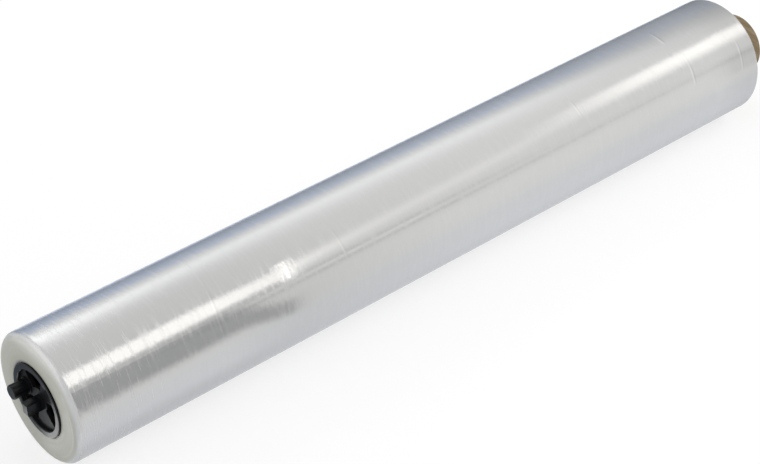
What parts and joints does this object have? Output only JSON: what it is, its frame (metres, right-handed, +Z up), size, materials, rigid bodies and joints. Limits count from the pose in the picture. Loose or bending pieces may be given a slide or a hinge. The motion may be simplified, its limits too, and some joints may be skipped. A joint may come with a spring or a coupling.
{
  "type": "roll of cling film",
  "caption": "Wide roll of clear cling film wound on a cardboard core, with a black moulded drive plug pressed into one end of the core.",
  "frame": {"origin": "middle of the bounding box, on the table that the roll lies on", "axes": "+X along the roll toward the open end of the core, +Z up, so the front is -Y and the plug is at -X"},
  "size_m": [0.4806, 0.0662, 0.0661],
  "materials": {
    "film": "tightly wound clear film, pale grey-white and glossy",
    "core": "spiral-wound brown board, matt",
    "plug": "black moulding, fairly glossy"
  },
  "bodies": {
    "root": {"film_roll": "film", "core_tube": "core", "end_plug": "plug"}
  },
  "joints": []
}
